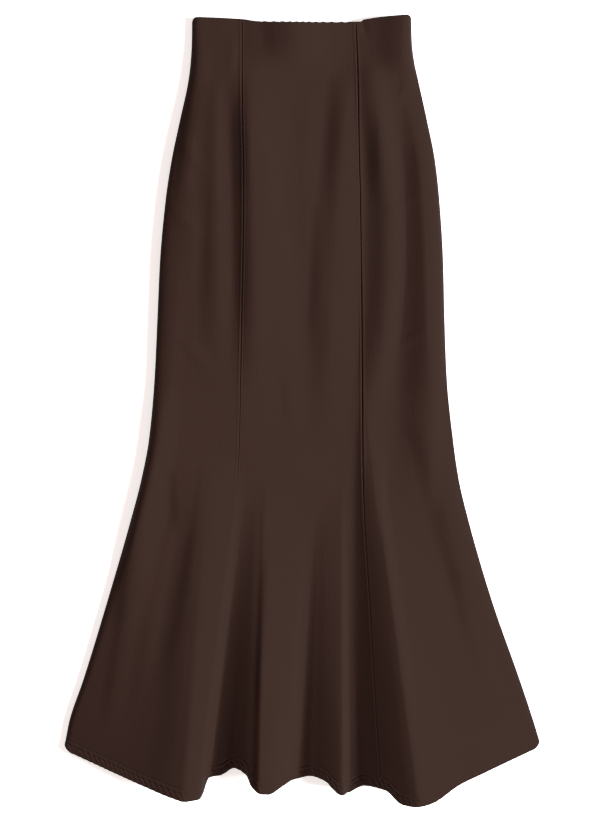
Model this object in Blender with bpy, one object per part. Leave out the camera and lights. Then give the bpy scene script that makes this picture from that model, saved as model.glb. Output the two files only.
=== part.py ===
"""Long mermaid skirt with a fishtail hem, cut from a smooth stretch knit in six gores and laid out flat.

The skirt lies face up on its back, waist towards +Y and hem towards -Y, with +Z up. Left and right are
as seen from above. The three back gores lie flat on the surface, and the three front gores lie over them:
nearly flat from waist to knee, then raised in the long folds that the flare falls into. Each gore is a
closed wall of even thickness, a hair's breadth from its neighbours along every seam.

Lengths in the tables are in millimetres and are turned to metres where they are read.
"""

import bmesh
import bpy
import numpy as np

MM = 0.001

# Driving dimensions.
WALL = 1.8 * MM  # thickness of the knit
SEAM_GAP = 0.3 * MM  # left open between gores that are sewn together
WAIST_Y = 483 * MM  # where the middle of the waist edge lies
EDGE_ROUND = 2.2 * MM  # radius of the cloth where it turns over at the side seams
HEM_CORNER = 11 * MM  # how much each hem corner is rounded
WAIST_CORNER = 6 * MM  # how much each waist corner is rounded
BACK_WAIST_DIP = 9 * MM  # how far the back's waist edge dips between the side seams
BACK_HEM_SWEEP = 26 * MM  # how far the back's hem sweeps down between the side seams
FOLD_EASE = 0.06  # how softly a fold begins, as a share of its length
RIDGE_START = 0.2  # share of a ridge's length over which it rises
RIDGE_END = 0.4  # and over which it dies away
PROBE = 0.1 * MM  # step for the slope of the cloth
EDGE_PASSES = 12  # enough for a gore's corners to settle on its edges

FRONT_ROWS = 27
BACK_ROWS = 18
SIDE_COLUMNS = 22
CENTRE_COLUMNS = 26
BACK_COLUMNS = 9

# One row for each level down the skirt. Loft is the height of the laid cloth away from its folds.
LEVEL_COLUMNS = ("down", "left_side", "left_seam", "right_seam", "right_side", "loft")
LEVELS = (
    (-9, -133.5, -74.3, 62.5, 130.5, 9.0),
    (21, -134.0, -73.7, 64.0, 131.3, 10.0),
    (45, -135.5, -73.9, 65.2, 134.1, 11.0),
    (69, -138.6, -73.8, 66.0, 139.6, 12.0),
    (116, -149.2, -73.4, 66.8, 150.5, 14.0),
    (165, -160.1, -72.5, 68.0, 160.9, 15.0),
    (213, -167.9, -72.7, 69.4, 166.8, 15.5),
    (286, -175.6, -73.9, 70.8, 172.3, 15.5),
    (361, -180.0, -75.9, 72.2, 175.1, 15.0),
    (436, -184.6, -78.0, 73.1, 179.0, 14.0),
    (512, -192.6, -80.0, 73.9, 187.7, 13.0),
    (563, -202.9, -82.8, 74.8, 195.7, 12.0),
    (615, -216.9, -86.6, 76.9, 208.5, 11.0),
    (719, -247.8, -96.9, 83.7, 239.6, 9.5),
    (825, -281.0, -107.4, 90.0, 277.4, 8.5),
    (878, -299.5, -114.6, 93.3, 295.4, 8.0),
    (912, -307.0, -119.4, 95.8, 306.0, 7.5),
    (975, -327.0, -124.5, 99.4, 326.0, 7.5),
)

# One row for each point of the front's waist edge, at a distance across from the middle line.
WAIST_COLUMNS = ("across", "down")
WAIST = (
    (-133.5, -5.4),
    (-72.0, -2.4),
    (-57.0, -0.2),
    (58.0, 0.6),
    (72.0, -2.4),
    (130.5, -8.6),
)

# One row for each line that runs down the flare, from where its fold begins to the hem: the crests, the
# troughs and the shoulders between them. Height is what it adds to the loft at the hem.
FOLD_COLUMNS = ("begins_across", "begins_down", "hem_across", "hem_down", "height")
FOLDS = (
    (-128.0, 520, -205.5, 956.0, 23.0),  # flat of the left gore
    (-107.0, 520, -147.5, 973.0, 37.0),  # crest of the left fold
    (-68.0, 555, -132.5, 971.0, 35.0),  # its shoulder, beside the seam
    (-66.0, 565, -127.0, 966.0, 28.0),
    (-64.0, 575, -123.0, 956.0, 12.0),
    (-62.0, 582, -119.5, 953.0, 5.0),  # foot of its steep side
    (-60.0, 590, -114.0, 952.5, 0.5),  # left trough
    (-58.0, 590, -101.5, 946.0, 4.5),
    (-56.0, 590, -87.0, 938.0, 11.5),
    (-54.0, 590, -73.0, 946.0, 19.0),
    (-51.0, 590, -62.5, 962.5, 25.0),
    (-46.0, 585, -48.5, 966.5, 29.0),  # crest of the middle fold
    (2.0, 600, -24.5, 958.5, 20.0),
    (20.0, 612, -7.5, 954.0, 5.0),
    (26.0, 618, 0.0, 953.0, 1.0),  # middle trough
    (28.0, 620, 10.5, 950.0, 5.5),
    (31.0, 620, 28.0, 955.5, 13.5),
    (34.0, 618, 41.0, 966.0, 19.0),
    (38.0, 615, 51.0, 969.0, 21.5),  # crest of the small fold
    (46.0, 600, 61.0, 968.5, 18.0),
    (58.0, 585, 69.5, 967.5, 7.0),
    (72.0, 585, 75.5, 967.0, 1.0),  # right trough
    (76.0, 585, 89.0, 964.0, 5.0),
    (80.0, 583, 104.0, 967.5, 12.5),
    (86.0, 580, 119.0, 977.0, 24.0),
    (93.0, 570, 140.0, 980.0, 37.0),  # crest of the right fold
    (118.0, 600, 164.5, 975.5, 32.0),
    (134.0, 610, 200.5, 955.0, 24.0),
    (150.0, 620, 231.5, 942.0, 17.0),  # flat of the right gore
)

# The two ends of the front hem, where it meets the side seams: across and down.
HEM_LEFT_CORNER = (-307.0, 917.0)
HEM_RIGHT_CORNER = (306.0, 912.0)

# One row for each soft ridge: a line from its upper to its lower end, how far it bows to the right of a
# straight one, and its reach to each side.
RIDGE_COLUMNS = (
    "upper_across",
    "upper_down",
    "lower_across",
    "lower_down",
    "bow",
    "left_reach",
    "right_reach",
    "height",
)
RIDGES = (
    (-125, 70, -140, 360, 0, 24, 18, 1.2),  # left hip, near the side
    (-106, 45, -106, 440, 0, 26, 22, 3.0),  # left hip
    (-69, 45, -58, 480, 6, 38, 80, 7.0),  # over the left seam
    (-62, -80, -60, 560, 0, 95, 60, 3.0),  # the broad rise under it
    (-5, -60, -5, 75, 0, 42, 70, 2.5),  # under the middle of the waist
    (68, 30, 38, 540, -14, 32, 46, 5.5),  # leaning across the middle gore
    (76, 30, 88, 540, 20, 32, 34, 6.5),  # beside the right seam
    (146, 60, 156, 580, 4, 40, 22, 6.5),  # right hip
    (118, -60, 130, 110, 0, 46, 14, 4.5),  # under the right end of the waist
    (-182, 430, -232, 790, 0, 22, 40, 4.5),  # where the left side begins to flare
    (150, 470, 240, 820, 0, 28, 34, 4.5),  # where the right side begins to flare
)


def columns_of(rows, names):
    """The table's columns by name, as arrays in metres."""
    return dict(zip(names, np.array(rows, float).T * MM))


def curve_through(at, knots, values):
    """Height at each point of a curve through the knots that never overshoots them.

    Between two knots it is a cubic. Its slope at a knot is the harmonic mean of the slopes to each side,
    and none where those differ in sign. It runs on straight past both ends. Knots and values hold one
    row for each knot, and each row may vary from point to point.
    """
    knots = [np.broadcast_to(knot, at.shape) for knot in knots]
    values = [np.broadcast_to(value, at.shape) for value in values]
    rises = [
        (values[i + 1] - values[i]) / (knots[i + 1] - knots[i])
        for i in range(len(knots) - 1)
    ]
    slopes = [rises[0]]
    for before, after in zip(rises, rises[1:]):
        product = before * after
        total = np.where(product > 0, before + after, 1.0)
        slopes.append(np.where(product > 0, 2 * product / total, 0.0))
    slopes.append(rises[-1])
    result = values[0] + slopes[0] * (at - knots[0])
    for i, rise in enumerate(rises):
        span = knots[i + 1] - knots[i]
        part = (at - knots[i]) / span
        cubic = (
            values[i]
            + slopes[i] * span * part
            + (3 * rise - 2 * slopes[i] - slopes[i + 1]) * span * part**2
            + (slopes[i] + slopes[i + 1] - 2 * rise) * span * part**3
        )
        result = np.where(at > knots[i], cubic, result)
    past = values[-1] + slopes[-1] * (at - knots[-1])
    return np.where(at > knots[-1], past, result)


def smooth_step(value):
    """0 below 0, 1 above 1, and a smooth rise between them."""
    value = np.clip(value, 0, 1)
    return value * value * (3 - 2 * value)


levels = columns_of(LEVELS, LEVEL_COLUMNS)
waist = columns_of(WAIST, WAIST_COLUMNS)
folds = columns_of(FOLDS, FOLD_COLUMNS)
ridges = columns_of(RIDGES, RIDGE_COLUMNS)


def at_level(name, down):
    """A column of the levels at a distance down from the waist."""
    return curve_through(down, levels["down"], levels[name])


def rounded_corner(across, down, radius):
    """How far an edge pulls back where it meets a side seam, along a quarter circle."""
    left = across - at_level("left_side", down)
    right = at_level("right_side", down) - across
    inset = np.clip(radius - np.minimum(left, right), 0, radius)
    return radius - np.sqrt(radius**2 - inset**2)


def front_waist(across):
    """How far down the front's waist edge lies."""
    down = curve_through(across, waist["across"], waist["down"])
    return down + rounded_corner(across, down, WAIST_CORNER)


def front_hem(across):
    """How far down the front's hem lies: it dips at each crest and draws up at each trough."""
    left = np.array(HEM_LEFT_CORNER) * MM
    right = np.array(HEM_RIGHT_CORNER) * MM
    knots = [left[0], *folds["hem_across"], right[0]]
    values = [left[1], *folds["hem_down"], right[1]]
    down = curve_through(across, knots, values)
    return down - rounded_corner(across, down, HEM_CORNER)


def share_across(across, down):
    """-1 at the left side seam, 1 at the right one."""
    left = at_level("left_side", down)
    right = at_level("right_side", down)
    return (2 * across - left - right) / (right - left)


def back_waist(across):
    """How far down the back's waist edge lies: it dips between the side seams, under the front's."""
    return front_waist_at_sides(across) + BACK_WAIST_DIP * (
        1 - share_across(across, 0 * across) ** 2
    )


def front_waist_at_sides(across):
    """The straight line between the two ends of the front's waist edge."""
    ends = np.array((levels["left_side"][0], levels["right_side"][0]))
    return np.interp(across, ends, front_waist(ends))


def back_hem(across):
    """How far down the back's hem lies: one even sweep between the side seams, under the front's."""
    ends = np.array((HEM_LEFT_CORNER[0], HEM_RIGHT_CORNER[0])) * MM
    sides = np.interp(across, ends, front_hem(ends))
    return sides + BACK_HEM_SWEEP * (1 - np.clip(across / ends[1], -1, 1) ** 2)


def side_rise(across, down):
    """How far the cloth has turned from a side seam, 0, to its full height, 1: a quarter ellipse."""
    half = at_level("loft", down) / 2
    reach = half**2 / EDGE_ROUND
    left = across - at_level("left_side", down)
    right = at_level("right_side", down) - across
    part = np.clip(np.minimum(left, right) / reach, 0, 1)
    return np.sqrt(1 - (1 - part) ** 2)


def fold_height(across, down):
    """Height of the flare's folds: cones that open from where each begins and stand highest at the hem."""
    knots = [at_level("left_side", down)]
    values = [0 * down]
    for begins_across, begins_down, hem_across, hem_down, height in zip(
        *(folds[name] for name in FOLD_COLUMNS)
    ):
        part = np.maximum((down - begins_down) / (hem_down - begins_down), 0)
        knots.append(begins_across + (hem_across - begins_across) * part)
        values.append(height * part**2 * (1 + FOLD_EASE) / (part + FOLD_EASE))
    knots.append(at_level("right_side", down))
    values.append(0 * down)
    return curve_through(across, knots, values)


def ridge_height(across, down):
    """Height of the soft ridges that lie along the hips, each a bell across and fading at both ends."""
    total = 0 * across
    for upper, top, lower, bottom, bow, left, right, height in zip(
        *(ridges[name] for name in RIDGE_COLUMNS)
    ):
        part = (down - top) / (bottom - top)
        off = across - (upper + (lower - upper) * part + 4 * bow * part * (1 - part))
        reach = np.where(off < 0, left, right)
        bell = 0.5 + 0.5 * np.cos(np.pi * np.clip(off / reach, -1, 1))
        ends = smooth_step(part / RIDGE_START) * smooth_step((1 - part) / RIDGE_END)
        total = total + height * bell * ends
    return total


def front_height(across, down):
    """Height of the front's outer face."""
    loft = at_level("loft", down)
    rise = side_rise(across, down)
    return loft / 2 + rise * (loft / 2 + ridge_height(across, down)) + fold_height(across, down)


def back_height(across, down):
    """Height of the back's outer face, which is its underside: flat, and turned up at the side seams."""
    return at_level("loft", down) / 2 * (1 - side_rise(across, down))


def outward(height, across, down, facing):
    """Unit direction out of the cloth, from the slope of its height. Facing is 1 up and -1 down."""
    slope_x = (height(across + PROBE, down) - height(across - PROBE, down)) / (2 * PROBE)
    slope_y = (height(across, down - PROBE) - height(across, down + PROBE)) / (2 * PROBE)
    direction = np.stack((-slope_x, -slope_y, np.ones_like(across)), axis=-1) * facing
    return direction / np.linalg.norm(direction, axis=-1, keepdims=True)


def even(count):
    """Shares from 0 to 1 in even steps."""
    return np.linspace(0, 1, count + 1)


def close_at_ends(count):
    """Shares from 0 to 1 with finer steps towards both ends."""
    return 0.5 - 0.5 * np.cos(np.pi * even(count))


def gore_grid(left, right, shares, rows, top_edge, bottom_edge):
    """Across and down for every point of a gore, from its left line to its right one and its top to its hem."""

    def across_at(down):
        return left(down) + (right(down) - left(down)) * shares

    ends = []
    for edge, start in ((top_edge, 0.0), (bottom_edge, front_hem(np.zeros(1))[0])):
        down = np.full_like(shares, start)
        for _ in range(EDGE_PASSES):
            down = edge(across_at(down))
        ends.append(down)
    down = ends[0] + (ends[1] - ends[0]) * even(rows)[:, None]
    return across_at(down), down


def wall_object(name, outer, inner, colour):
    """A closed wall between two grids of points, as an object with its own material."""
    rows, columns = outer.shape[:2]
    index = np.arange(rows * columns).reshape(rows, columns)
    under = index + rows * columns
    quads = []
    for grid in (index, under[:, ::-1]):
        corners = (grid[:-1, :-1], grid[:-1, 1:], grid[1:, 1:], grid[1:, :-1])
        quads.append(np.stack(corners, axis=-1).reshape(-1, 4))
    ring = np.concatenate((index[0], index[1:, -1], index[-1, -2::-1], index[-2::-1, 0]))
    start, end = ring[:-1], ring[1:]
    quads.append(np.stack((start, end, end + index.size, start + index.size), axis=-1))
    mesh = bpy.data.meshes.new(name)
    points = np.concatenate((outer.reshape(-1, 3), inner.reshape(-1, 3)))
    mesh.from_pydata(points.tolist(), [], np.concatenate(quads).tolist())
    made = bmesh.new()
    made.from_mesh(mesh)
    bmesh.ops.recalc_face_normals(made, faces=made.faces)
    made.to_mesh(mesh)
    made.free()
    mesh.shade_smooth()
    mesh.materials.append(knit_material(name, colour))
    placed = bpy.data.objects.new(name, mesh)
    bpy.context.scene.collection.objects.link(placed)
    return placed


def knit_material(name, colour):
    """Matt brown stretch knit."""
    material = bpy.data.materials.new(f"{name} knit")
    material.use_nodes = True
    shader = material.node_tree.nodes["Principled BSDF"]
    shader.inputs["Base Color"].default_value = (*colour, 1)
    shader.inputs["Roughness"].default_value = 0.85
    shader.inputs["Metallic"].default_value = 0
    return material


def gore(name, left, right, shares, rows, edges, height, facing, colour, side=None):
    """One gore as a wall. Side is -1 or 1 where its left or right line is a side seam."""
    across, down = gore_grid(left, right, shares, rows, *edges)
    outer = np.stack((across, WAIST_Y - down, height(across, down)), axis=-1)
    # Two gores share one direction along a seam, so their edges are parallel.
    across[:, 0] -= SEAM_GAP / 2
    across[:, -1] += SEAM_GAP / 2
    direction = outward(height, across, down, facing)
    if side is not None:
        # At a side seam the cloth stands upright, so the two walls meet on a level face.
        column = 0 if side < 0 else -1
        direction[:, column] = (side, 0, 0)
        outer[:, column, 2] += facing * SEAM_GAP / 2
    return wall_object(name, outer, outer - WALL * direction, colour)


def beside(name, shift):
    """A line of the levels, moved across by half a seam's gap."""
    return lambda down: at_level(name, down) + shift * SEAM_GAP / 2


def clear_scene():
    for thing in list(bpy.data.objects):
        bpy.data.objects.remove(thing)


def build_skirt():
    front_edges = (front_waist, front_hem)
    back_edges = (back_waist, back_hem)
    side_front = (0.055, 0.031, 0.024)
    centre = (0.060, 0.034, 0.027)
    side_back = (0.048, 0.027, 0.021)
    spans = {
        "left": (beside("left_side", 0), beside("left_seam", -1), -1),
        "centre": (beside("left_seam", 1), beside("right_seam", -1), None),
        "right": (beside("right_seam", 1), beside("right_side", 0), 1),
    }
    for place, (left, right, side) in spans.items():
        front_name = "centre_front" if side is None else f"side_front_{place}"
        back_name = "centre_back" if side is None else f"side_back_{place}"
        front_shares = even(CENTRE_COLUMNS) if side is None else close_at_ends(SIDE_COLUMNS)
        back_shares = close_at_ends(BACK_COLUMNS)
        front_colour = centre if side is None else side_front
        gore(
            front_name,
            left,
            right,
            front_shares,
            FRONT_ROWS,
            front_edges,
            front_height,
            1,
            front_colour,
            side,
        )
        gore(
            back_name,
            left,
            right,
            back_shares,
            BACK_ROWS,
            back_edges,
            back_height,
            -1,
            side_back,
            side,
        )


clear_scene()
build_skirt()
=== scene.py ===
"""Dresses the laid mermaid skirt: six gores of brown stretch knit, with their seams, hem and waist edge.

Each gore is a closed wall of cloth on a fine grid. Its side seams, princess seams and loft are its solid's
own. The ridges, the folds of the flare and the hem lie a few millimetres from the solid's, and the smaller
creases, the sunk seams, the turned edges and the two rows of stitches along the hem are only here.
Lengths in the tables are in millimetres and are turned to metres where they are read.
"""

import math

import bpy
import numpy as np
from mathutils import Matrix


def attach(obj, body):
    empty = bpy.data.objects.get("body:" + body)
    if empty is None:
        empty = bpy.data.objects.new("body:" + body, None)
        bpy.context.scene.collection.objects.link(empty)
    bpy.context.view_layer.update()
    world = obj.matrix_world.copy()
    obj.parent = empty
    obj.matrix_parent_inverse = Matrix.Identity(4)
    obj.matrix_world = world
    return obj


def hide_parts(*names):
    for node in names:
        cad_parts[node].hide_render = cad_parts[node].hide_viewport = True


MM = 0.001

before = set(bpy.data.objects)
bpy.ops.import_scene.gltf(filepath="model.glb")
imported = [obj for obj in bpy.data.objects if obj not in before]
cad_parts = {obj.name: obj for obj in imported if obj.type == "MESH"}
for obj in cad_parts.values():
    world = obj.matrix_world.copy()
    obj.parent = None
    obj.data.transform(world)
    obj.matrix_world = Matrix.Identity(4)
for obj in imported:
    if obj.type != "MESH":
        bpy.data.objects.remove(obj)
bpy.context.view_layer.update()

# Camera: above the waist end, looking down and a little towards the hem. Its lens and its sensor are in
# millimetres.
CAMERA_DISTANCE = 2.4143
CAMERA_TILT = math.radians(10)
CAMERA_LENS = 85
CAMERA_SENSOR = 36
CAMERA_REACH = 50
AIM_Y = 9 * MM


def make_camera():
    """The camera, on a straight line out from a point near the middle of the skirt."""
    camera = bpy.data.cameras.new("camera")
    camera.lens = CAMERA_LENS
    camera.sensor_width = CAMERA_SENSOR
    camera.clip_end = CAMERA_REACH
    holder = bpy.data.objects.new("camera", camera)
    holder.location = (
        0,
        AIM_Y + CAMERA_DISTANCE * math.sin(CAMERA_TILT),
        CAMERA_DISTANCE * math.cos(CAMERA_TILT),
    )
    holder.rotation_euler = (-CAMERA_TILT, 0, 0)
    bpy.context.scene.collection.objects.link(holder)
    bpy.context.scene.camera = holder


make_camera()

# The cloth's sizes. All but the gap are the solids' own.
WALL = 1.8 * MM  # thickness of the knit
SEAM_GAP = 0.16 * MM  # between two gores at the bottom of a seam
WAIST_Y = 483 * MM  # where the distance down the skirt is 0
EDGE_ROUND = 2.2 * MM  # radius of the turn at a side seam
HEM_CORNER = 11 * MM  # radius of the corners where the hem meets the side seams
WAIST_CORNER = 6 * MM  # and of those at the waist
BACK_WAIST_DIP = 9 * MM  # how far the back's waist edge dips in the middle
BACK_HEM_SWEEP = 26 * MM  # and its hem
FOLD_EASE = 0.06  # share of a fold's length over which its rise sets in
RIDGE_START = 0.2  # share of a ridge's length over which it rises
RIDGE_END = 0.4  # and over which it dies away
PROBE = 0.1 * MM  # step to each side at which a slope is measured

# The seams across, and how high the laid skirt stands away from its folds.
LEVEL_COLUMNS = ("down", "left_side", "left_seam", "right_seam", "right_side", "loft")
LEVELS = (
    (-9, -133.5, -74.3, 62.5, 130.5, 9.0),
    (21, -134.0, -73.7, 64.0, 131.3, 10.0),
    (45, -135.5, -73.9, 65.2, 134.1, 11.0),
    (69, -138.6, -73.8, 66.0, 139.6, 12.0),
    (116, -149.2, -73.4, 66.8, 150.5, 14.0),
    (165, -160.1, -72.5, 68.0, 160.9, 15.0),
    (213, -167.9, -72.7, 69.4, 166.8, 15.5),
    (286, -175.6, -73.9, 70.8, 172.3, 15.5),
    (361, -180.0, -75.9, 72.2, 175.1, 15.0),
    (436, -184.6, -78.0, 73.1, 179.0, 14.0),
    (512, -192.6, -80.0, 73.9, 187.7, 13.0),
    (563, -202.9, -82.8, 74.8, 195.7, 12.0),
    (615, -216.9, -86.6, 76.9, 208.5, 11.0),
    (719, -247.8, -96.9, 83.7, 239.6, 9.5),
    (825, -281.0, -107.4, 90.0, 277.4, 8.5),
    (878, -299.5, -114.6, 93.3, 295.4, 8.0),
    (912, -307.0, -119.4, 95.8, 306.0, 7.5),
    (975, -327.0, -124.5, 99.4, 326.0, 7.5),
)

# The front's waist edge.
WAIST_COLUMNS = ("across", "down")
WAIST = (
    (-133.5, -5.4),
    (-72.0, -2.4),
    (-57.0, -0.2),
    (58.0, 0.6),
    (70.6, 0.4),  # the turned edge ends in a small step beside the right seam
    (72.4, -1.6),
    (130.5, -8.6),
)

# The flare's crests, its troughs and the shoulders between them: where each begins, where it meets the
# hem, and how high it stands there.
FOLD_COLUMNS = ("begins_across", "begins_down", "hem_across", "hem_down", "height")
FOLDS = (
    (-128.0, 520, -205.5, 956.0, 24.0),  # flat of the left gore
    (-121.0, 520, -164.0, 969.8, 35.5),
    (-113.0, 520, -151.0, 972.6, 38.0),  # crest of the left fold
    (-79.0, 540, -136.0, 971.4, 35.5),  # its shoulder, beside the seam
    (-77.5, 545, -131.0, 972.6, 28.0),
    (-75.5, 550, -127.5, 970.2, 12.0),
    (-73.5, 555, -124.5, 961.0, 6.3),  # foot of its steep side
    (-71.5, 560, -120.5, 953.4, 2.8),  # left trough
    (-66.5, 561, -105.0, 948.2, 6.8),
    (-61.5, 561, -88.0, 936.4, 13.5),
    (-57.0, 560, -73.0, 943.0, 20.5),
    (-53.0, 559, -65.5, 958.5, 24.5),
    (-47.0, 556, -55.0, 965.4, 29.5),  # crest of the middle fold
    (-40.0, 560, -44.0, 966.3, 29.0),
    (0.0, 600, -24.5, 958.5, 18.0),
    (8.0, 606, -14.0, 955.4, 7.0),
    (14.0, 606, -7.5, 954.1, 4.2),  # middle trough
    (21.0, 595, 10.5, 948.4, 9.8),
    (29.0, 580, 28.0, 952.8, 16.6),
    (39.0, 568, 41.0, 965.0, 21.8),
    (45.0, 562, 48.0, 969.0, 24.0),
    (49.0, 558, 52.0, 969.0, 24.6),  # crest of the small fold
    (52.0, 548, 55.8, 971.6, 11.5),
    (54.5, 535, 59.5, 971.6, 6.4),  # right trough
    (62.0, 520, 67.5, 966.4, 7.4),
    (65.0, 490, 80.0, 960.2, 12.4),
    (66.5, 470, 104.0, 962.6, 22.8),
    (69.5, 455, 127.0, 979.0, 32.2),
    (72.5, 450, 140.0, 980.0, 36.8),
    (74.0, 445, 150.0, 978.8, 38.8),  # crest of the right fold
    (108.0, 580, 165.5, 975.0, 36.0),
    (134.0, 610, 200.5, 955.0, 24.0),
    (150.0, 620, 231.5, 942.0, 17.0),  # flat of the right gore
)
HEM_LEFT_CORNER = (-307.0, 917.0)
HEM_RIGHT_CORNER = (306.0, 912.0)

# Soft ridges: a line from its upper to its lower end, how far it bows to the right of a straight one,
# and its reach to each side.
RIDGE_COLUMNS = (
    "upper_across",
    "upper_down",
    "lower_across",
    "lower_down",
    "bow",
    "left_reach",
    "right_reach",
    "height",
)
RIDGES = (
    (-125, 70, -140, 360, 0, 24, 18, 1.2),  # left hip, near the side
    (-106, 45, -106, 440, 0, 26, 22, 3.0),  # left hip
    (-69, 45, -61, 480, 7, 34, 56, 6.8),  # over the left seam
    (-62, -80, -60, 560, 0, 95, 60, 3.0),  # the broad rise under it
    (-5, -60, -5, 75, 0, 42, 70, 2.5),  # under the middle of the waist
    (68, 30, 38, 540, -14, 32, 36, 4.1),  # leaning across the middle gore
    (76, 30, 62, 560, 38, 36, 20, 6.3),  # beside the right seam
    (158, 60, 150, 640, 10, 50, 22, 8.8),  # right hip
    (126, -60, 134, 110, 0, 50, 14, 4.5),  # under the right end of the waist
    (-182, 430, -232, 790, 0, 22, 40, 4.5),  # where the left side begins to flare
    (150, 470, 240, 820, 0, 34, 34, 3.4),  # where the right side begins to flare
)

# The front's smaller swells and creases, laid out as the ridges are. A height below 0 is a trough.
CREASES = (
    (-12, -40, -4, 70, 0, 72, 44, 8.2),  # swell under the middle of the waist edge
    (-54, -16, -46, 46, 0, 14, 18, -0.6),  # dip to its left
    (131, -46, 124, 92, 0, 82, 14, 5.6),  # swell under the right end of the waist
    (50, 50, 46, 210, 0, 26, 16, 1.0),
    (86, 36, 100, 230, 0, 24, 30, 2.6),  # steeper side of the ridge beside the right seam
    (-63, 50, -61, 230, 0, 18, 30, 1.3),  # and of the one over the left seam
    (-124, 10, -158, 260, 0, 9, 24, 1.3),  # firm edge above the left hip
    (112, 96, 141, 56, 0, 12, 9, 0.8),  # short drag line into the right side
    (69, -10, 76, 20, 0, 5, 6, -0.9),  # nick below the step
    (-84, 20, -90, 70, 0, 7, 9, 0.5),
    (-158, 128, -116, 190, 3, 14, 16, 0.6),  # drag lines into the left side
    (-168, 214, -126, 262, 3, 15, 18, 0.6),
    (104, 150, 150, 118, -3, 14, 14, 0.4),  # and into the right side
    (98, 236, 160, 196, -3, 16, 16, 0.4),
    (0, 60, 4, 330, 0, 36, 30, 1.2),  # down the middle gore
    (-46, 120, -20, 330, -4, 14, 18, 0.7),
    (-30, 330, -12, 520, 3, 16, 20, 0.8),
    (20, 196, 10, 420, 4, 14, 16, 0.7),
    (-150, 380, -110, 436, 2, 18, 18, 0.6),  # drag lines above the knee
    (110, 400, 162, 366, -2, 16, 18, 0.4),
    (-174, 540, -168, 640, 2, 14, 14, -1.0),
    (-148, 600, -196, 860, 0, 20, 24, -1.3),  # flat of the left gore
    (-216, 700, -252, 900, 0, 18, 22, 0.9),
    (-40, 640, -56, 900, 0, 12, 16, 1.0),
    (174, 640, 214, 880, 0, 22, 26, -1.0),  # flat of the right gore
    (206, 720, 258, 880, 0, 20, 20, 0.8),
)

# The same for the back, which the surface holds flat: its creases stand off it, up into the skirt.
BACK_CREASES = (
    (-40, -30, -46, 150, 0, 26, 22, 0.9),
    (52, -30, 44, 200, 3, 24, 28, 1.1),
    (-112, 90, -104, 330, 4, 22, 26, 1.3),
    (104, 120, 116, 380, -4, 24, 24, 1.4),
    (-22, 300, -30, 560, 0, 26, 30, 1.2),
    (84, 420, 96, 600, 0, 22, 24, 1.0),
    (-96, 520, -150, 1060, 0, 20, 26, 3.2),  # under the left fold
    (-46, 560, -52, 1060, 0, 18, 20, 2.2),
    (40, 560, 50, 1060, 0, 18, 20, 2.4),
    (96, 540, 146, 1060, 0, 24, 22, 3.4),  # under the right fold
    (-150, 620, -232, 1060, 0, 22, 26, 1.8),
    (150, 600, 236, 1060, 0, 24, 24, 1.6),
)

# How deep the cloth rolls down into each princess seam. The seams are pressed flat at the waist and lie
# almost flush in the flare.
SEAM_COLUMNS = ("down", "left_depth", "right_depth")
SEAMS = (
    (-6, 0.15, 0.25),
    (14, 0.45, 0.80),
    (80, 0.60, 1.05),
    (480, 0.40, 1.05),
    (610, 0.12, 0.30),
    (960, 0.10, 0.15),
)
SEAM_ROLL = 1.4 * MM  # how wide the roll is
SEAM_RIDGE = 0.35 * MM  # the seam allowance pushes a low ridge up beside the seam
SEAM_RIDGE_AT = 1.9 * MM
SEAM_RIDGE_REACH = 1.5 * MM

# The left seam's allowance shows its edge as a fine groove at its right, from the waist into the flare.
ALLOWANCE_EDGE = 2.7 * MM  # from the seam
ALLOWANCE_REACH = 0.7 * MM
ALLOWANCE_DEPTH = 0.3 * MM
ALLOWANCE_START = 20 * MM  # how far down it is whole
ALLOWANCE_END = 900 * MM  # how far down it is gone
ALLOWANCE_FADE = 300 * MM  # the length over which it goes

# The turned waist edge draws in between its catches.
SCALLOP = 0.9 * MM
SCALLOP_LENGTH = 9 * MM
SCALLOP_SPAN = (-56 * MM, 60 * MM)
SCALLOP_FADE = 8 * MM
SCALLOP_DRIFT = 2.5 * MM  # how far a catch lies off its even place
SCALLOP_DRIFT_LENGTH = 13 * MM

WAIST_TURN = 12 * MM  # depth of the turned waist edge
HEM_TURN = 16 * MM  # depth of the turned hem
TURN_THICKNESS = 1.0 * MM  # what a turned layer adds inside
TURN_STEP = 1.0 * MM  # the width over which it ends
TURN_SIDE = 12 * MM  # and that over which it dies away beside a side seam

# The hem's stitches, and the puckers that they draw between them and the edge.
STITCH_ROWS = (8 * MM, 14 * MM)  # from the edge
STITCH_SINK = 0.7 * MM  # how deep a row pulls the cloth in
STITCH_REACH = 1.3 * MM
STITCH_LENGTH = 3.4 * MM
STITCH_SPACE = 0.7 * MM
STITCH_MARGIN = 2 * MM  # how far inside the hem's corners a row is measured from
STITCH_SIDE = 3 * MM  # how far from a side seam a row stops
STITCH_SAMPLES = 12000  # points along the hem at which a row's length is measured
STITCH_ALONG = np.array((0.0, 0.12, 0.3, 0.5, 0.7, 0.88, 1.0))  # shares of a stitch's length
STITCH_LIFT = np.array((-0.9, 0.2, 0.7, 0.8, 0.7, 0.2, -0.9))  # off the cloth there, in thread radii
STITCH_GIRTH = np.array((0.55, 0.9, 1.0, 1.0, 1.0, 0.9, 0.55))  # its radius there, in the same
THREAD_RADIUS = 0.28 * MM
THREAD_SIDES = 6
PUCKER = 0.22 * MM
PUCKER_LENGTH = 7 * MM
PUCKER_FADE = 4 * MM
PUCKER_LEAN = 0.5  # how far a pucker runs across for each step up from the hem
PUCKER_DRIFT = 3 * MM
PUCKER_DRIFT_LENGTH = 19 * MM

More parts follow.
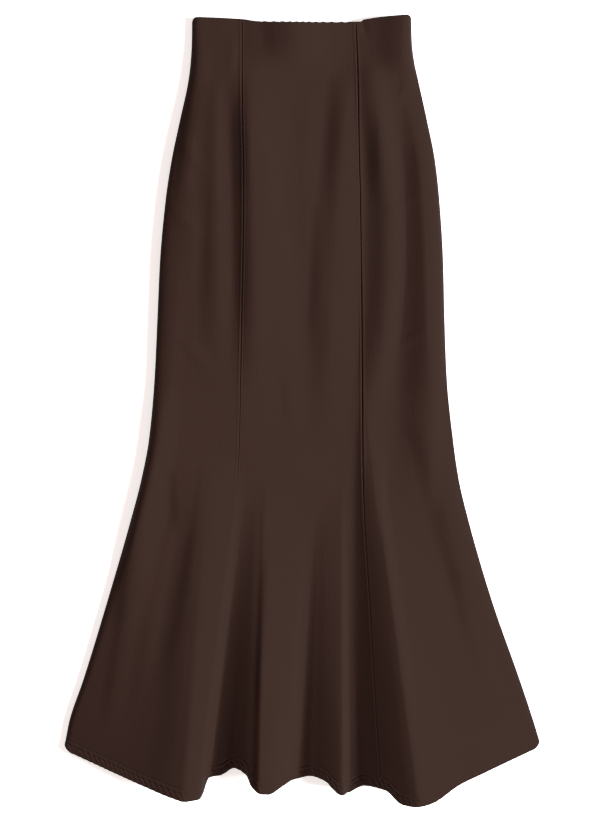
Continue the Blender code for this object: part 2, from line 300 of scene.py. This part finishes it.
# Grid: distances from an edge at which the columns and rows lie close together, and how many columns
# and rows lie evenly between them.
COLUMN_STEPS = MM * np.array(
    (0, 0.15, 0.4, 0.8, 1.3, 1.9, 2.6, 3.4, 4.4, 5.6, 7.2, 9.4, 12.4, 16.5, 22)
)
HEM_STEPS = MM * np.concatenate((np.arange(0, 20, 0.75), (21, 23, 26)))
WAIST_STEPS = MM * np.array((0, 0.5, 1.2, 2, 3, 4.2, 5.5, 7, 9, 10.5, 12, 13.5, 15.5, 18))
FRONT_EVEN = (84, 190)
BACK_EVEN = (12, 70)
TURN_POINTS = 4  # points round a turned edge
HALF_TURN = TURN_POINTS // 2
WAIST_GUESS = 0.0  # where the search for the waist edge and the hem starts
HEM_GUESS = 950 * MM
EDGE_PASSES = 14  # of that search

# The knit's look. Wale and course are the spacing of its loops: real ones are about 0.8 mm, drawn
# coarser here so that they show.
WAVE_PERIOD = 2 * math.pi / 20  # the wave texture's own period at a scale of 1
WALE = 2.2 * MM
COURSE = 1.9 * MM
STREAK = 3.2 * MM  # width and length of the streaks where the yarn runs uneven
STREAK_LENGTH = 60 * MM
CLOUD = 70 * MM  # size of the soft patches in the dye
FIBRE = 0.6 * MM  # size of the fuzz, drawn coarser than real fibres so that it shows
STREAK_SHARE = 0.55  # of the tone, the rest of which is the clouds'
FIBRE_RELIEF = 0.5  # height of the fuzz and of the streaks, against the loops'
STREAK_RELIEF = 0.8
KNIT_RELIEF = 0.12 * MM
KNIT_BUMP = 0.6
KNIT_ROUGHNESS = (0.78, 0.92)
KNIT_IOR = 1.5
KNIT_SPECULAR = 0.1
KNIT_SHEEN = 0.03
KNIT_SHEEN_ROUGHNESS = 0.5
KNIT_DARK = "#2c1c17"
KNIT_LIGHT = "#32221d"
SHEEN_TINT = "#8a6c5e"

THREAD_RELIEF = 0.1 * MM
THREAD_BUMP = 0.4
THREAD_ROUGHNESS = 0.7
# The thread's two tones are darker than the cloth: painted shade for the grooves that the stitches pull
# in.
THREAD_SHADED_DARK = "#1c120f"
THREAD_SHADED_LIGHT = "#2b1c18"

FLOOR_HALF = 40
FLOOR_TOP = -0.2 * MM  # just under the cloth, so that the two don't share a face
FLOOR_WHITE = "#fafafa"
FLOOR_ROUGHNESS = 0.9
FLOOR_LAMP = "#ffffff"
FLOOR_GLOW = 0.64  # the table is lit from below, which lifts the shadows on it

LIGHT_DISTANCE = 6.0
LIGHT_SIZE = 2.5
LIGHT_HEIGHT = math.radians(28)
LIGHT_TURN = math.radians(-2)  # from +X towards the hem
LIGHT_POWER = 1070
WORLD_STRENGTH = 0.34
WORLD_TINT = "#ffdfd3"

# The camera's tone curve: brown cloth in full light is held back, so that it stays one even tone. The
# numbers are linear red, green and blue where that starts, and how far and how steeply it runs.
SHOULDER_START = (0.0535, 0.0303, 0.0236)
SHOULDER_LENGTH = 1.3
SHOULDER_SLOPE = 0.15


def columns_of(rows, names):
    """The table's columns by name, as arrays in metres."""
    return dict(zip(names, np.array(rows, float).T * MM))


levels = columns_of(LEVELS, LEVEL_COLUMNS)
waist = columns_of(WAIST, WAIST_COLUMNS)
folds = columns_of(FOLDS, FOLD_COLUMNS)
seams = columns_of(SEAMS, SEAM_COLUMNS)
ridges = columns_of(RIDGES, RIDGE_COLUMNS)
creases = columns_of(CREASES, RIDGE_COLUMNS)
back_creases = columns_of(BACK_CREASES, RIDGE_COLUMNS)


def curve_through(at, knots, values):
    """A curve through the knots that never overshoots them, straight past both ends.

    Between two knots it is a cubic whose slope at a knot is the harmonic mean of the slopes to each
    side, and none where those differ in sign.
    """
    knots = [np.broadcast_to(knot, at.shape) for knot in knots]
    values = [np.broadcast_to(value, at.shape) for value in values]
    rises = [
        (values[i + 1] - values[i]) / (knots[i + 1] - knots[i])
        for i in range(len(knots) - 1)
    ]
    slopes = [rises[0]]
    for before, after in zip(rises, rises[1:]):
        product = before * after
        total = np.where(product > 0, before + after, 1.0)
        slopes.append(np.where(product > 0, 2 * product / total, 0.0))
    slopes.append(rises[-1])
    result = values[0] + slopes[0] * (at - knots[0])
    for i, rise in enumerate(rises):
        span = knots[i + 1] - knots[i]
        part = (at - knots[i]) / span
        cubic = (
            values[i]
            + slopes[i] * span * part
            + (3 * rise - 2 * slopes[i] - slopes[i + 1]) * span * part**2
            + (slopes[i] + slopes[i + 1] - 2 * rise) * span * part**3
        )
        result = np.where(at > knots[i], cubic, result)
    past = values[-1] + slopes[-1] * (at - knots[-1])
    return np.where(at > knots[-1], past, result)


def smooth_step(value):
    """0 below 0, 1 above 1, and a smooth rise between them."""
    value = np.clip(value, 0, 1)
    return value * value * (3 - 2 * value)


def bell(off, reach):
    """1 in the middle, 0 at the reach and beyond: a raised cosine."""
    return 0.5 + 0.5 * np.cos(np.pi * np.clip(off / reach, -1, 1))


def unit(vectors):
    """The same directions with a length of 1."""
    return vectors / np.linalg.norm(vectors, axis=-1, keepdims=True)


def at_level(name, down):
    """A column of the levels at a distance down from the waist."""
    return curve_through(down, levels["down"], levels[name])


def from_sides(across, down):
    """Distance from the nearer side seam."""
    left = across - at_level("left_side", down)
    right = at_level("right_side", down) - across
    return np.minimum(left, right)


def share_across(across, down):
    """-1 at the left side seam, 1 at the right one."""
    left = at_level("left_side", down)
    right = at_level("right_side", down)
    return (2 * across - left - right) / (right - left)


def rounded_corner(across, down, radius):
    """How far an edge pulls back where it meets a side seam, along a quarter circle."""
    inset = np.clip(radius - from_sides(across, down), 0, radius)
    return radius - np.sqrt(radius**2 - inset**2)


def scallops(across):
    """The middle of the waist edge draws in between its catches, as half waves, a bit unevenly."""
    first, last = SCALLOP_SPAN
    starting = smooth_step((across - first) / SCALLOP_FADE)
    ending = smooth_step((last - across) / SCALLOP_FADE)
    place = across + SCALLOP_DRIFT * np.sin(across / SCALLOP_DRIFT_LENGTH)
    return SCALLOP * starting * ending * np.abs(np.sin(np.pi * place / SCALLOP_LENGTH))


def front_waist(across):
    """How far down the front's waist edge lies: its table's curve, with rounded corners and scallops."""
    down = curve_through(across, waist["across"], waist["down"])
    return down + rounded_corner(across, down, WAIST_CORNER) + scallops(across)


def front_hem(across):
    """How far down the front's hem lies: a curve through the ends of the folds, with rounded corners.

    It dips at each crest and draws up at each trough.
    """
    left = np.array(HEM_LEFT_CORNER) * MM
    right = np.array(HEM_RIGHT_CORNER) * MM
    knots = [left[0], *folds["hem_across"], right[0]]
    values = [left[1], *folds["hem_down"], right[1]]
    down = curve_through(across, knots, values)
    return down - rounded_corner(across, down, HEM_CORNER)


def back_waist(across):
    """How far down the back's waist edge lies: a parabola that dips in the middle between the sides."""
    ends = np.array((levels["left_side"][0], levels["right_side"][0]))
    sides = np.interp(across, ends, front_waist(ends))
    at_waist = 0 * across
    return sides + BACK_WAIST_DIP * (1 - share_across(across, at_waist) ** 2)


def back_hem(across):
    """How far down the back's hem lies: a parabola that sweeps down between the side seams."""
    ends = np.array((HEM_LEFT_CORNER[0], HEM_RIGHT_CORNER[0])) * MM
    sides = np.interp(across, ends, front_hem(ends))
    return sides + BACK_HEM_SWEEP * (1 - np.clip(across / ends[1], -1, 1) ** 2)


def side_rise(across, down):
    """How far the cloth has turned from a side seam, 0, to its full height, 1: a quarter ellipse."""
    half = at_level("loft", down) / 2
    part = np.clip(from_sides(across, down) / (half**2 / EDGE_ROUND), 0, 1)
    return np.sqrt(1 - (1 - part) ** 2)


def fold_height(across, down):
    """Height of the flare's folds: cones that open from where each begins and are highest at the hem.

    Along a fold the height is a square where it sets in and straight after that. Across the folds it is
    a curve through all of them.
    """
    knots = [at_level("left_side", down)]
    values = [0 * down]
    for begins_across, begins_down, hem_across, hem_down, height in zip(
        *(folds[name] for name in FOLD_COLUMNS)
    ):
        part = np.maximum((down - begins_down) / (hem_down - begins_down), 0)
        knots.append(begins_across + (hem_across - begins_across) * part)
        values.append(height * part**2 * (1 + FOLD_EASE) / (part + FOLD_EASE))
    knots.append(at_level("right_side", down))
    values.append(0 * down)
    return curve_through(across, knots, values)


def soft_lines(rows, across, down):
    """Height of a table's ridges or creases, each a bell across and fading at both ends."""
    total = 0 * across
    for upper, top, lower, bottom, bow, left, right, height in zip(
        *(rows[name] for name in RIDGE_COLUMNS)
    ):
        part = (down - top) / (bottom - top)
        off = across - (upper + (lower - upper) * part + 4 * bow * part * (1 - part))
        ends = smooth_step(part / RIDGE_START) * smooth_step((1 - part) / RIDGE_END)
        total = total + height * bell(off, np.where(off < 0, left, right)) * ends
    return total


def seam_relief(across, down):
    """The cloth rolls down into each princess seam, with a low ridge at each side of it.

    The roll is a parabola, deepest on the seam and flat at its edge, and the ridges are bells. So is the
    fine groove at the edge of the left seam's allowance.
    """
    total = 0 * across
    for side in ("left", "right"):
        off = across - at_level(f"{side}_seam", down)
        depth = curve_through(down, seams["down"], seams[f"{side}_depth"])
        roll = depth * np.maximum(1 - np.abs(off) / SEAM_ROLL, 0) ** 2
        shown = depth / np.max(seams[f"{side}_depth"])
        ridge = SEAM_RIDGE * shown * bell(np.abs(off) - SEAM_RIDGE_AT, SEAM_RIDGE_REACH)
        total = total + ridge - roll
    off = across - at_level("left_seam", down) - ALLOWANCE_EDGE
    starting = smooth_step(down / ALLOWANCE_START)
    ending = smooth_step((ALLOWANCE_END - down) / ALLOWANCE_FADE)
    return total - ALLOWANCE_DEPTH * starting * ending * bell(off, ALLOWANCE_REACH)


def stitch_relief(across, down):
    """Each row of hem stitches pulls the cloth in along a shallow groove.

    From the upper row to the edge it puckers, in a slanting sine wave that drifts a little.
    """
    from_hem = front_hem(across) - down
    inside = smooth_step((STITCH_ROWS[-1] - from_hem) / PUCKER_FADE)
    drift = PUCKER_DRIFT * np.sin(across / PUCKER_DRIFT_LENGTH)
    run = across + PUCKER_LEAN * from_hem + drift
    total = PUCKER * inside * np.sin(2 * np.pi * run / PUCKER_LENGTH)
    for row in STITCH_ROWS:
        total = total - STITCH_SINK * bell(from_hem - row, STITCH_REACH)
    return total


def front_height(across, down):
    """Height of the front's outer face: its loft, what stands on it, and the flare's folds."""
    loft = at_level("loft", down)
    relief = soft_lines(ridges, across, down) + soft_lines(creases, across, down)
    relief = relief + seam_relief(across, down) + stitch_relief(across, down)
    rise = side_rise(across, down)
    return loft / 2 + rise * (loft / 2 + relief) + fold_height(across, down)


def back_height(across, down):
    """Height of the back's underside: flat but for its creases, and turned up at the side seams."""
    half = at_level("loft", down) / 2
    rise = side_rise(across, down)
    return half * (1 - rise) + rise * soft_lines(back_creases, across, down)


def outward(height, across, down, facing):
    """Unit direction out of the cloth, square to the two slopes of its height.

    Facing is 1 up and -1 down.
    """
    slope_x = (height(across + PROBE, down) - height(across - PROBE, down)) / (2 * PROBE)
    slope_y = (height(across, down - PROBE) - height(across, down + PROBE)) / (2 * PROBE)
    return unit(np.stack((-slope_x, -slope_y, np.ones_like(across)), axis=-1) * facing)


def spaced(first, last, even):
    """How points spread along a length: each one's share of the length, and what is added to that.

    The first and the last points keep their distances from the two ends, and the others are even
    between them.
    """
    part = np.linspace(0, 1, even + 2)[1:-1]
    shares = np.concatenate((0 * first, part, 1 + 0 * last))
    between = first[-1] * (1 - part) - last[-1] * part
    return shares, np.concatenate((first, between, -last[::-1]))


def gore_grid(left, right, even, edges):
    """Across and down for every point of a gore, from left to right and from the waist to the hem.

    A column ends where the edge's distance down at its place across is its own. As that place shifts on
    the way down, each is worked out from the other until they agree.
    """
    even_columns, even_rows = even
    column_shares, column_steps = spaced(COLUMN_STEPS, COLUMN_STEPS, even_columns)
    row_shares, row_steps = spaced(WAIST_STEPS, HEM_STEPS, even_rows)

    def across_at(down):
        return left(down) + (right(down) - left(down)) * column_shares + column_steps

    ends = []
    for edge, guess in zip(edges, (WAIST_GUESS, HEM_GUESS)):
        down = np.full_like(column_shares, guess)
        for _ in range(EDGE_PASSES):
            down = edge(across_at(down))
        ends.append(down)
    top, bottom = ends
    down = top + (bottom - top) * row_shares[:, None] + row_steps[:, None]
    return across_at(down), down


def turned_edge(outer, inner, beyond):
    """Points round a turned edge, from outer face to inner: a half circle past the cloth's end."""
    middle = (outer + inner) / 2
    up = (outer - inner) / 2
    radius = np.linalg.norm(up, axis=-1, keepdims=True)
    past = beyond - up * np.sum(beyond * up, axis=-1, keepdims=True) / radius**2
    past = unit(past) * radius
    angle = np.pi * np.arange(1, TURN_POINTS + 1)[:, None, None] / (TURN_POINTS + 1)
    return middle + up * np.cos(angle) + past * np.sin(angle)


def cloth_loops(outer, inner):
    """Loops round the cloth: down its outer face, round the hem, up its inner face, round the waist.

    They start halfway round the waist edge, so that point i lies opposite point -1 - i.
    """
    hem = turned_edge(outer[-1], inner[-1], outer[-1] - outer[-2])
    top = turned_edge(inner[0], outer[0], outer[0] - outer[1])
    return np.concatenate((top[HALF_TURN:], outer, hem, inner[::-1], top[:HALF_TURN]))


def quads_round(index, axis):
    """Quads between neighbours of a grid of points, whose rings close up along the axis."""
    following = np.roll(index, -1, axis=axis)
    corners = (index[:, :-1], following[:, :-1], following[:, 1:], index[:, 1:])
    return np.stack(corners, axis=-1).reshape(-1, 4)


def loop_faces(count, columns):
    """Quads round the loops, and strips that close the cloth along its two long edges."""
    index = np.arange(count * columns).reshape(count, columns)
    strips = []
    for column in (0, columns - 1):
        near = index[: count // 2, column]
        far = index[::-1, column][: count // 2]
        strips.append(np.stack((near[:-1], near[1:], far[1:], far[:-1]), axis=-1))
    return quads_round(index, 0), np.concatenate(strips)


def signed_volume(points, faces):
    """Volume inside the quads, negative where they face inwards: a sum of pyramids to the origin."""
    a, b, c, d = (points[faces[:, corner]] for corner in range(4))
    return np.sum(np.cross(a, b) * c + np.cross(a, c) * d) / 6


def skirt_piece(name, points, faces, material):
    """A piece of the skirt at the origin, with its faces turned out."""
    mesh = bpy.data.meshes.new(name)
    mesh.from_pydata(points.tolist(), [], faces.tolist())
    if signed_volume(points, faces) < 0:
        mesh.flip_normals()
    mesh.materials.append(material)
    mesh.shade_smooth()
    piece = bpy.data.objects.new(name, mesh)
    bpy.context.scene.collection.objects.link(piece)
    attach(piece, "root")
    return piece


def lengths_along(points, axis):
    """Distance run along one axis of a grid of points, from its middle."""
    steps = np.linalg.norm(np.diff(points, axis=axis), axis=-1)
    run = np.cumsum(steps, axis=axis)
    run = np.concatenate((0 * np.take(run, [0], axis), run), axis=axis)
    return run - np.take(run, [run.shape[axis] // 2], axis)


def lay_pattern(piece, outer):
    """A UV map in metres of cloth: across the gore from its middle, and along it.

    Its rows follow those of the cloth's loops, and the points round an edge share the edge's place.
    """
    flat = np.stack((lengths_along(outer, 1), -lengths_along(outer, 0)), axis=-1)
    half_waist = np.repeat(flat[:1], HALF_TURN, axis=0)
    hem = np.repeat(flat[-1:], TURN_POINTS, axis=0)
    places = np.concatenate((half_waist, flat, hem, flat[::-1], half_waist)).reshape(-1, 2)
    mesh = piece.data
    corner_points = np.empty(len(mesh.loops), np.int32)
    mesh.loops.foreach_get("vertex_index", corner_points)
    layer = mesh.uv_layers.new(name="cloth")
    layer.uv.foreach_set("vector", places[corner_points].astype(np.float32).ravel())


def turned_depth(across, down, edges):
    """Thickness of the turned layers inside the waist and the hem: smooth steps at their ends.

    They fade out at the side seams.
    """
    waist_edge, hem_edge = edges
    from_waist = down - waist_edge(across)
    from_hem = hem_edge(across) - down
    waist_layer = smooth_step((WAIST_TURN - from_waist) / TURN_STEP)
    hem_layer = smooth_step((HEM_TURN - from_hem) / TURN_STEP)
    shown = smooth_step(from_sides(across, down) / TURN_SIDE)
    return TURN_THICKNESS * (waist_layer + hem_layer) * shown


def gore(name, left, right, even, edges, height, facing, material, side):
    """One gore of cloth: its outer face at its height, and its inner one a wall's thickness inside.

    Side is -1 or 1 where the gore's left or right line is a side seam, and None for a middle gore.
    """
    across, down = gore_grid(left, right, even, edges)
    outer = np.stack((across, WAIST_Y - down, height(across, down)), axis=-1)
    # Two gores share one direction along a seam, so their edges are parallel.
    across[:, 0] -= SEAM_GAP / 2
    across[:, -1] += SEAM_GAP / 2
    direction = outward(height, across, down, facing)
    if side is not None:
        # At a side seam the cloth stands upright, so the two walls meet on a level face.
        column = 0 if side < 0 else -1
        direction[:, column] = (side, 0, 0)
        outer[:, column, 2] += facing * SEAM_GAP / 2
    thickness = WALL + turned_depth(across, down, edges)
    inner = outer - thickness[..., None] * direction
    loops = cloth_loops(outer, inner)
    skin, strips = loop_faces(*loops.shape[:2])
    piece = skirt_piece(name, loops.reshape(-1, 3), np.concatenate((skin, strips)), material)
    # The strips along the seams are flat, with a sharp edge at each side of them.
    smooth = np.arange(len(skin) + len(strips)) < len(skin)
    piece.data.polygons.foreach_set("use_smooth", smooth)
    lay_pattern(piece, outer)
    return piece


def beside(name, shift):
    """A line of the levels, moved by half a seam's gap: to the left, -1, to the right, 1, or not, 0."""
    return lambda down: at_level(name, down) + shift * SEAM_GAP / 2


def stitch_row(from_edge):
    """Middle points of a row of stitches along the hem: (stitch, place along it, xyz).

    With them comes the way up from the cloth at each. The stitches follow each other at an even pitch,
    measured along the cloth.
    """
    fine = np.linspace(
        HEM_LEFT_CORNER[0] * MM + STITCH_MARGIN,
        HEM_RIGHT_CORNER[0] * MM - STITCH_MARGIN,
        STITCH_SAMPLES,
    )

    def surface(across):
        down = front_hem(across) - from_edge
        return np.stack((across, WAIST_Y - down, front_height(across, down)), axis=-1), down

    points, down = surface(fine)
    inside = from_sides(fine, down) > STITCH_SIDE
    fine, points = fine[inside], points[inside]
    run = np.concatenate(((0,), np.cumsum(np.linalg.norm(np.diff(points, axis=0), axis=-1))))
    pitch = STITCH_LENGTH + STITCH_SPACE
    starts = np.arange(0, run[-1] - pitch, pitch)
    places = starts[:, None] + STITCH_LENGTH * STITCH_ALONG
    across = np.interp(places, run, fine)
    middle, down = surface(across)
    up = outward(front_height, across, down, 1)
    return middle + up * (STITCH_LIFT * THREAD_RADIUS)[:, None], up


def stitches(name, material):
    """Both rows of hem stitches as one piece: short round threads, sunk into the cloth at both ends.

    Round each middle point lies a ring of points, square to the stitch and a thread's radius out.
    """
    middles, ups = (np.concatenate(part) for part in zip(*(stitch_row(row) for row in STITCH_ROWS)))
    ahead = unit(np.gradient(middles, axis=1))
    aside = unit(np.cross(ahead, ups))
    above = np.cross(aside, ahead)
    angle = 2 * np.pi * np.arange(THREAD_SIDES)[:, None] / THREAD_SIDES
    spokes = aside[..., None, :] * np.cos(angle) + above[..., None, :] * np.sin(angle)
    girth = THREAD_RADIUS * STITCH_GIRTH[:, None, None]
    rings = middles[..., None, :] + spokes * girth
    count, places = rings.shape[:2]
    index = np.arange(count * places * THREAD_SIDES).reshape(count, places, THREAD_SIDES)
    # Two quads close each end of the six-sided thread.
    rings_at_ends = (index[:, 0], index[:, -1, ::-1])
    ends = [ring[:, quad] for ring in rings_at_ends for quad in ((0, 1, 2, 3), (0, 3, 4, 5))]
    faces = np.concatenate((quads_round(index, 2), *ends))
    return skirt_piece(name, rings.reshape(-1, 3), faces, material)


def linear(hex_colour):
    """A colour written as sRGB hex, as linear values: straight near black, and a power above that."""
    values = np.array([int(hex_colour[i : i + 2], 16) for i in (1, 3, 5)]) / 255
    low = values / 12.92
    high = ((values + 0.055) / 1.055) ** 2.4
    return (*np.where(values <= 0.04045, low, high).tolist(), 1)


def add(tree, kind, settings=None, **inputs):
    """Adds a node with its settings, and joins each input to an output or gives it a value.

    An input is written by its name, with _ for a space, or as i and its number.
    """
    node = tree.nodes.new(kind)
    for name, value in (settings or {}).items():
        setattr(node, name, value)
    for name, value in inputs.items():
        key = int(name[1:]) if name[1:].isdigit() else name.replace("_", " ")
        if isinstance(value, bpy.types.NodeSocket):
            tree.links.new(value, node.inputs[key])
        else:
            node.inputs[key].default_value = value
    return node


def empty_material(name):
    """A material with no nodes yet, and its node tree."""
    material = bpy.data.materials.new(name)
    material.use_nodes = True
    material.node_tree.nodes.clear()
    return material, material.node_tree


def stretch_knit():
    """Polyester and elastane double knit: smooth and matt, with fine wales that run down each gore.

    Its brushed filaments scatter light evenly and lift it a little at a glancing angle, so it has no
    highlight. The tone mixes streaks and clouds. The relief is wales times courses, with some of the
    fibres and the streaks added.
    """
    material, tree = empty_material("double knit jersey, chocolate brown")
    cloth = add(tree, "ShaderNodeUVMap", {"uv_map": "cloth"}).outputs["UV"]
    wales, courses = (
        add(
            tree,
            "ShaderNodeTexWave",
            {"wave_type": "BANDS", "bands_direction": direction, "wave_profile": "SIN"},
            Vector=cloth,
            Scale=WAVE_PERIOD / spacing,
            Distortion=0.0,
        ).outputs["Fac"]
        for direction, spacing in (("X", WALE), ("Y", COURSE))
    )
    noises = []
    # Streaks, clouds and fibres: how wide and long they are, and their noise's own detail and roughness.
    for width, length, detail, roughness in (
        (STREAK, STREAK_LENGTH, 3.0, 0.6),
        (CLOUD, CLOUD, 2.0, 0.5),
        (FIBRE, FIBRE, 2.0, 0.7),
    ):
        place = add(tree, "ShaderNodeMapping", Vector=cloth, Scale=(1 / width, 1 / length, 1))
        noise = add(
            tree,
            "ShaderNodeTexNoise",
            Vector=place.outputs[0],
            Scale=1.0,
            Detail=detail,
            Roughness=roughness,
        )
        noises.append(noise.outputs["Fac"])
    streaks, clouds, fibres = noises
    multiply, multiply_add = {"operation": "MULTIPLY"}, {"operation": "MULTIPLY_ADD"}
    streaky = add(tree, "ShaderNodeMath", multiply, i0=streaks, i1=STREAK_SHARE)
    tone = add(
        tree,
        "ShaderNodeMath",
        multiply_add,
        i0=clouds,
        i1=1 - STREAK_SHARE,
        i2=streaky.outputs[0],
    )
    colour = add(
        tree,
        "ShaderNodeMix",
        {"data_type": "RGBA"},
        i0=tone.outputs[0],
        i6=linear(KNIT_DARK),
        i7=linear(KNIT_LIGHT),
    )
    relief = add(tree, "ShaderNodeMath", multiply, i0=wales, i1=courses)
    for pattern, height in ((fibres, FIBRE_RELIEF), (streaks, STREAK_RELIEF)):
        relief = add(
            tree,
            "ShaderNodeMath",
            multiply_add,
            i0=pattern,
            i1=height,
            i2=relief.outputs[0],
        )
    bump = add(
        tree,
        "ShaderNodeBump",
        Height=relief.outputs[0],
        Strength=KNIT_BUMP,
        Distance=KNIT_RELIEF,
    )
    smoothest, roughest = KNIT_ROUGHNESS
    rough = add(tree, "ShaderNodeMapRange", i0=fibres, i3=smoothest, i4=roughest)
    shader = add(
        tree,
        "ShaderNodeBsdfPrincipled",
        Base_Color=colour.outputs[2],
        Metallic=0,
        Roughness=rough.outputs[0],
        IOR=KNIT_IOR,
        Normal=bump.outputs[0],
        Specular_IOR_Level=KNIT_SPECULAR,
        Sheen_Weight=KNIT_SHEEN,
        Sheen_Roughness=KNIT_SHEEN_ROUGHNESS,
        Sheen_Tint=linear(SHEEN_TINT),
    )
    add(tree, "ShaderNodeOutputMaterial", Surface=shader.outputs[0])
    return material


def sewing_thread():
    """Spun polyester thread in the cloth's brown, darkened with painted shade for the grooves it sinks
    into: its short fibres make it soft and matt.
    """
    material, tree = empty_material("spun polyester thread, brown")
    place = add(tree, "ShaderNodeTexCoord").outputs["Object"]
    fuzz = add(tree, "ShaderNodeTexNoise", Vector=place, Scale=1 / THREAD_RADIUS, Detail=2.0)
    colour = add(
        tree,
        "ShaderNodeMix",
        {"data_type": "RGBA"},
        i0=fuzz.outputs["Fac"],
        i6=linear(THREAD_SHADED_DARK),
        i7=linear(THREAD_SHADED_LIGHT),
    )
    bump = add(
        tree,
        "ShaderNodeBump",
        Height=fuzz.outputs["Fac"],
        Strength=THREAD_BUMP,
        Distance=THREAD_RELIEF,
    )
    shader = add(
        tree,
        "ShaderNodeBsdfPrincipled",
        Base_Color=colour.outputs[2],
        Roughness=THREAD_ROUGHNESS,
        Normal=bump.outputs[0],
    )
    add(tree, "ShaderNodeOutputMaterial", Surface=shader.outputs[0])
    return material


def dress_skirt():
    """The six gores from left to right, each front one with the back one under it, and the stitches."""
    knit = stretch_knit()
    thread = sewing_thread()
    layers = (
        ("front", FRONT_EVEN, (front_waist, front_hem), front_height, 1),
        ("back", BACK_EVEN, (back_waist, back_hem), back_height, -1),
    )
    spans = (
        ("side_{}_left", beside("left_side", 0), beside("left_seam", -1), -1),
        ("centre_{}", beside("left_seam", 1), beside("right_seam", -1), None),
        ("side_{}_right", beside("right_seam", 1), beside("right_side", 0), 1),
    )
    for pattern, left, right, side in spans:
        for layer, even, edges, height, facing in layers:
            node = pattern.format(layer)
            piece = gore(f"{node}_cloth", left, right, even, edges, height, facing, knit, side)
            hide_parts(node)
    stitches("hem_stitches", thread)


def make_floor():
    """A wide opal acrylic table: white and matt, and lit evenly from below."""
    low, high = -FLOOR_HALF, FLOOR_HALF
    corners = ((low, low), (high, low), (high, high), (low, high))
    mesh = bpy.data.meshes.new("floor")
    mesh.from_pydata([(x, y, FLOOR_TOP) for x, y in corners], [], [(0, 1, 2, 3)])
    material, tree = empty_material("opal acrylic table, lit from below")
    shader = add(
        tree,
        "ShaderNodeBsdfPrincipled",
        Base_Color=linear(FLOOR_WHITE),
        Roughness=FLOOR_ROUGHNESS,
        Emission_Color=linear(FLOOR_LAMP),
        Emission_Strength=FLOOR_GLOW,
    )
    add(tree, "ShaderNodeOutputMaterial", Surface=shader.outputs[0])
    mesh.materials.append(material)
    floor = bpy.data.objects.new("floor", mesh)
    bpy.context.scene.collection.objects.link(floor)


def make_light():
    """One large soft light low at the right, like a window, and a faint and slightly warm surround."""
    light = bpy.data.lights.new("window", "AREA")
    light.shape = "DISK"
    light.size = LIGHT_SIZE
    light.energy = LIGHT_POWER
    holder = bpy.data.objects.new("window", light)
    level = LIGHT_DISTANCE * math.cos(LIGHT_HEIGHT)
    holder.location = (
        level * math.cos(LIGHT_TURN),
        level * math.sin(LIGHT_TURN),
        LIGHT_DISTANCE * math.sin(LIGHT_HEIGHT),
    )
    holder.rotation_euler = (0, math.pi / 2 - LIGHT_HEIGHT, LIGHT_TURN)
    bpy.context.scene.collection.objects.link(holder)
    world = bpy.data.worlds.new("surround")
    world.use_nodes = True
    background = world.node_tree.nodes["Background"]
    background.inputs["Color"].default_value = linear(WORLD_TINT)
    background.inputs["Strength"].default_value = WORLD_STRENGTH
    bpy.context.scene.world = world


def hold_back_brights():
    """The tone curve: straight up to the shoulder, gentle along it, then straight on to white."""
    view = bpy.context.scene.view_settings
    view.view_transform = "Standard"
    view.use_curve_mapping = True
    for curve, start in zip(view.curve_mapping.curves, SHOULDER_START):
        along = start * SHOULDER_LENGTH
        for point in ((start, start), (start + along, start + along * SHOULDER_SLOPE)):
            curve.points.new(*point).handle_type = "VECTOR"
    view.curve_mapping.update()


dress_skirt()
make_floor()
make_light()
hold_back_brights()
